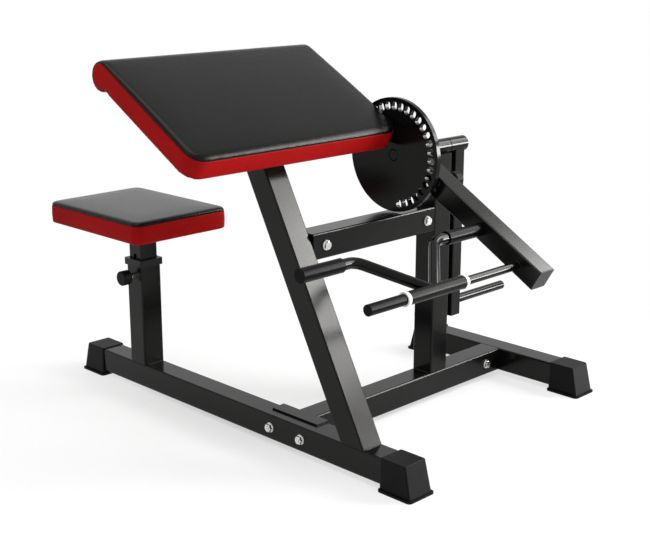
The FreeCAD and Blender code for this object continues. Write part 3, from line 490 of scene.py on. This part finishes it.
def fill_out(mesh, under_of):
    """Lifts the cover by its swelling, sinks the seam and puckers the vinyl beside it."""
    points, seam = coordinates(mesh), stored(mesh, "seam")
    lift = stored(mesh, "swell") - GROOVE * np.clip(1 - np.abs(seam) / (1.6 * SEAM_HALF), 0, 1)
    wave = np.sin(points[:, 0] * 190 + 2.1 * np.sin(points[:, 1] * 37))
    wave *= np.sin(points[:, 1] * 170 + points[:, 2] * 60)
    lift -= RIPPLE * wave * np.exp(-np.abs(seam) / RIPPLE_REACH)
    lift[under_of(points)] = 0.0
    write_coordinates(mesh, points + normals(mesh) * lift[:, None])


def cushion(name, node, body, seam_of, under_of):
    """A padded cover over the solid of its node: swollen by simulation, drawn taut, then sewn."""
    solid = NODES[node].data
    obj = rough_cover(name, solid)
    under = under_of(coordinates(obj.data))
    swell = np.zeros(len(under))
    swell = np.where(under, 0.0, inflate(obj, under, PRESSURE))
    store(obj.data, "swell", evened(obj.data, np.clip(swell, *SWELL_RANGE), SWELL_ROUNDS))
    draw_taut(obj, solid, seam_of)
    mesh = obj.data
    mesh.materials.clear()
    for panel in ("black_vinyl", "red_vinyl"):
        mesh.materials.append(MATERIALS[panel])
    sew(mesh)
    fill_out(mesh, under_of)
    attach(obj, body)
    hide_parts(node)


def pad_under(points):
    """True where the cover is drawn under the arm pad and into its board."""
    up, height = pad_coordinates(points)
    in_board = (height < PAD_BOARD_TOP) & (up < PAD_BOARD_END + 0.004) & (up > 0.008)
    return in_board | (height < HEM) & (up < PAD_BOARD_END + 0.01)


def seat_under(points):
    return points[:, 2] - SEAT_Z < HEM


def make_cushions():
    cushion("arm_pad_cover", "arm_pad_cushion", "frame", pad_seam, pad_under)
    cushion("seat_cover", "seat_cushion", "seat", seat_seam, seat_under)


# Added pieces of metal

def finished(mesh, name, finish):
    """Makes a working mesh a smooth piece of the scene."""
    bmesh.ops.recalc_face_normals(mesh, faces=mesh.faces)
    data = bpy.data.meshes.new(name)
    mesh.to_mesh(data)
    mesh.free()
    smooth_shading(data)
    obj = bpy.data.objects.new(name, data)
    bpy.context.scene.collection.objects.link(obj)
    dress(obj, finish)
    return obj


def ring_of(mesh, centre, across, other, radius, sides):
    """Points round a centre, in the plane of two directions."""
    turns = [2 * math.pi * k / sides for k in range(sides)]
    spokes = [across * math.cos(turn) + other * math.sin(turn) for turn in turns]
    return [mesh.verts.new(centre + spoke * radius) for spoke in spokes]


def skin(mesh, rings):
    """Faces from ring to ring, closed at both ends."""
    sides = len(rings[0])
    for a, b in zip(rings, rings[1:]):
        for k in range(sides):
            mesh.faces.new((a[k], a[(k + 1) % sides], b[(k + 1) % sides], b[k]))
    mesh.faces.new(rings[0])
    mesh.faces.new(rings[-1])


# Weld beads
BEAD_SIDES = 8


def bead_rings(mesh, points, closed, radius):
    rings = []
    last = len(points) - 1
    for i, point in enumerate(points):
        after = points[(i + 1) % len(points)] if closed or i < last else point
        before = points[i - 1] if closed or i > 0 else point
        along = (after - before).normalized()
        across = along.orthogonal().normalized()
        end = 1.0 if closed else min(1.0, 0.35 + 0.25 * min(i, last - i))
        size = radius * end * (0.86 + 0.14 * (i % 3 == 0))
        rings.append(ring_of(mesh, point, across, along.cross(across), size, BEAD_SIDES))
    return rings


def bead(name, body, lines, radius=0.0022):
    """Rippled weld beads along lines of points, as one piece."""
    mesh = bmesh.new()
    for points, closed in lines:
        rings = bead_rings(mesh, points, closed, radius)
        for a, b in zip(rings, rings[1:] + rings[:1] if closed else rings[1:]):
            shift = min(range(BEAD_SIDES), key=lambda k: (a[0].co - b[k].co).length)
            b = b[shift:] + b[:shift]
            for k in range(BEAD_SIDES):
                after = (k + 1) % BEAD_SIDES
                mesh.faces.new((a[k], a[after], b[after], b[k]))
        if not closed:
            mesh.faces.new(list(reversed(rings[0])))
            mesh.faces.new(rings[-1])
    obj = finished(mesh, name, "frame")
    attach(obj, body)


def straight(start, end, step=0.0016):
    start, end = place(*start), place(*end)
    count = max(3, round((end - start).length / step))
    return [start.lerp(end, i / count) for i in range(count + 1)], False


def circle(centre, axis, radius, step=0.0016):
    centre, axis = place(*centre), Vector(axis).normalized()
    across = axis.orthogonal().normalized()
    other = axis.cross(across)
    count = max(24, round(2 * math.pi * radius / step / 3) * 3)
    turns = [2 * math.pi * i / count for i in range(count)]
    return [centre + (across * math.cos(t) + other * math.sin(t)) * radius for t in turns], True


def make_welds():
    half = TUBE / 2
    run = 0.025
    foot = half / math.cos(POST_LEAN)
    bead("post_welds", "frame", [
        straight((POST_FOOT_X + foot, -run, BASE_TOP), (POST_FOOT_X + foot, run, BASE_TOP)),
        straight((POST_FOOT_X - foot, -run, BASE_TOP), (POST_FOOT_X - foot, run, BASE_TOP)),
        straight((SEAT_POST_X + half, -run, BASE_TOP), (SEAT_POST_X + half, run, BASE_TOP)),
        straight((SEAT_POST_X - half, -run, BASE_TOP), (SEAT_POST_X - half, run, BASE_TOP)),
        straight((-run, UPRIGHT_Y - half, BASE_TOP), (run, UPRIGHT_Y - half, BASE_TOP)),
        straight((-run, UPRIGHT_Y + half, BASE_TOP), (run, UPRIGHT_Y + half, BASE_TOP)),
        straight((-run, half + 0.004, BASE_TOP), (run, half + 0.004, BASE_TOP)),
    ])
    bar_x = BAR_ALONG * math.cos(ARM_DROP) - BAR_BELOW * math.sin(ARM_DROP)
    bar_z = PIVOT_Z - BAR_ALONG * math.sin(ARM_DROP) - BAR_BELOW * math.cos(ARM_DROP)
    bead("arm_welds", "arm", [
        circle((bar_x, ARM_Y, bar_z), (0, 1, 0), 0.0095),
        circle((0, ARM_Y + ARM_TUBE, PIVOT_Z), (0, 1, 0), 0.019),
    ], 0.0013)
    bead("swing_welds", "swing", [circle(WEIGHT_WELD, (0, 1, 0), 0.0115)], 0.0012)


# Nose of the arm's pin, as (distance from its root, radius). It stands 4 mm inside one of the disc's slots,
# and the pin's pull draws it out.
NOSE = [(0.0, 0.0059), (0.0042, 0.0059), (0.0049, 0.0056), (0.0051, 0.0050)]
NOSE_ROOT = 0.0012
NOSE_SIDES = 40


def make_pin_nose():
    x, z = SLOT_R * math.cos(ARM_DROP), PIVOT_Z - SLOT_R * math.sin(ARM_DROP)
    start, axis = place(x, DISC_BACK + NOSE_ROOT, z), Vector((0, -1, 0))
    across = axis.orthogonal().normalized()
    other = axis.cross(across)
    mesh = bmesh.new()
    rings = []
    for along, radius in NOSE:
        rings.append(ring_of(mesh, start + axis * along, across, other, radius, NOSE_SIDES))
    skin(mesh, rings)
    obj = finished(mesh, "arm_pin_nose", "steel")
    obj.data.set_sharp_from_angle(angle=math.radians(35))
    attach(obj, "arm_pin")


# Wound springs of the pins
COIL_WIRE = 0.0004  # radius
COIL_TURNS = 3
COIL_STEPS = 96
COIL_SIDES = 10


def make_coil(name, node, body, pin_body, knob_side):
    """A wound spring between its bush and the pin's collar, which shortens as the pin is pulled."""
    low, high = (Vector(corner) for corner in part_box(node))
    middle = (low + high) / 2
    radius = (high.x - low.x) / 2 - COIL_WIRE
    reach = (high.y - low.y) / 2 - COIL_WIRE
    axis = Vector((0, 1, 0))
    mesh = bmesh.new()
    rings = []
    for k in range(COIL_STEPS + 1):
        turn = 2 * math.pi * COIL_TURNS * k / COIL_STEPS
        spoke = Vector((math.cos(turn), 0, math.sin(turn)))
        centre = middle + spoke * radius + axis * reach * (2 * k / COIL_STEPS - 1)
        rings.append(ring_of(mesh, centre, spoke, axis, COIL_WIRE, COIL_SIDES))
    skin(mesh, rings)
    coil = finished(mesh, name, "steel")
    end = axis * reach * knob_side
    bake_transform(coil, body, pin_body, start=tuple(middle + end), end=tuple(middle - end))
    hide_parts(node)


def make_coils():
    make_coil("arm_pin_coil", "arm_pin_spring", "arm", "arm_pin", 1)
    make_coil("seat_pin_coil", "seat_pin_spring", "frame", "seat_pin", -1)


# Camera, light and floor
CAMERA_AT = (1.8672, -1.7621, 1.1104)
FLOOR_HALF = 14.0
FLOOR_DROP = 0.0005


def make_camera():
    right = Vector((0.70538, 0.70883, 0.0))
    up = Vector((-0.18788, 0.18696, 0.96423))
    back = right.cross(up).normalized()
    data = bpy.data.cameras.new("camera")
    data.sensor_width = 36.0
    data.sensor_fit = "HORIZONTAL"
    data.lens = 67.25
    camera = bpy.data.objects.new("camera", data)
    bpy.context.scene.collection.objects.link(camera)
    turn = Matrix((right, up, back)).transposed().to_4x4()
    camera.matrix_world = Matrix.Translation(place(*CAMERA_AT)) @ turn
    bpy.context.scene.camera = camera


def soft_box(name, where, target, width, height, power):
    """A soft lamp that faces a target."""
    data = bpy.data.lights.new(name, "AREA")
    data.shape = "RECTANGLE"
    data.size, data.size_y = width, height
    data.energy = power
    lamp = bpy.data.objects.new(name, data)
    bpy.context.scene.collection.objects.link(lamp)
    lamp.location = where
    lamp.rotation_euler = (Vector(target) - Vector(where)).to_track_quat("-Z", "Y").to_euler()


def make_lights():
    soft_box("top_light", (0.3, -0.6, 3.2), (0, 0, 0.4), 2.2, 2.2, 42)
    soft_box("side_light", (5.27, 5.18, 3.60), (0.2, -0.2, 0.4), 2.8, 1.36, 270)
    soft_box("low_light", (5.5, 5.7, 1.2), (0.2, -0.2, 0.6), 1.9, 1.7, 470)
    soft_box("back_light", (1.3, 1.95, 2.05), (0.4, 0, 0.5), 2.0, 0.8, 46)
    soft_box("front_light", (0.3, -2.0, 1.6), (-0.2, -0.2, 0.7), 1.2, 1.0, 5)


def seen_rays(tree):
    """1 for rays that show the background: straight, mirrored or through glass."""
    rays = tree.nodes.new("ShaderNodeLightPath")
    total = rays.outputs["Is Camera Ray"]
    for name in ("Is Glossy Ray", "Is Transmission Ray"):
        either = tree.nodes.new("ShaderNodeMath")
        either.operation = "MAXIMUM"
        tree.links.new(total, either.inputs[0])
        tree.links.new(rays.outputs[name], either.inputs[1])
        total = either.outputs[0]
    return total


def make_world():
    world = bpy.data.worlds.new("studio")
    bpy.context.scene.world = world
    world.use_nodes = True
    tree = world.node_tree
    background = tree.nodes["Background"]
    background.inputs["Color"].default_value = rgb(1, 1, 1)
    strength = tree.nodes.new("ShaderNodeMapRange")
    strength.inputs["To Min"].default_value = 0.5
    strength.inputs["To Max"].default_value = 1.0
    tree.links.new(seen_rays(tree), strength.inputs["Value"])
    tree.links.new(strength.outputs["Result"], background.inputs["Strength"])


def make_floor():
    """Pale floor that keeps the bench's shadow and turns into the white background further out."""
    s = Shader("floor")
    cloud = s.noise(1.5, 2.0)
    colour = s.mix(s.spread(cloud, 0.3, 0.7), rgb(0.90, 0.90, 0.90), rgb(0.93, 0.93, 0.93))
    s.set(Base_Color=colour, Roughness=0.9, Specular_IOR_Level=0.1)
    away = s.node("ShaderNodeVectorMath", {0: s.coords}, operation="LENGTH").outputs["Value"]
    far = s.spread(away, 0.2, 1.3, 0.5, 1.0)
    white = s.node("ShaderNodeEmission", {"Color": rgb(1, 1, 1), "Strength": 1.0})
    blend = s.node("ShaderNodeMixShader", {0: s.math("MULTIPLY", far, seen_rays(s.tree))})
    s.tree.links.new(s.bsdf.outputs["BSDF"], blend.inputs[1])
    s.tree.links.new(white.outputs["Emission"], blend.inputs[2])
    s.tree.links.new(blend.outputs["Shader"], s.tree.nodes["Material Output"].inputs["Surface"])
    mesh = bpy.data.meshes.new("floor")
    corners = [(FLOOR_HALF * x, FLOOR_HALF * y, 0) for x, y in ((-1, -1), (1, -1), (1, 1), (-1, 1))]
    mesh.from_pydata(corners, [], [(0, 1, 2, 3)])
    mesh.materials.append(s.material)
    floor = bpy.data.objects.new("floor", mesh)
    floor.location.z = -FLOOR_DROP
    bpy.context.scene.collection.objects.link(floor)


dress_nodes()
make_cushions()
make_welds()
make_pin_nose()
make_coils()
make_camera()
make_lights()
make_world()
make_floor()
bpy.context.scene.view_settings.view_transform = "Standard"
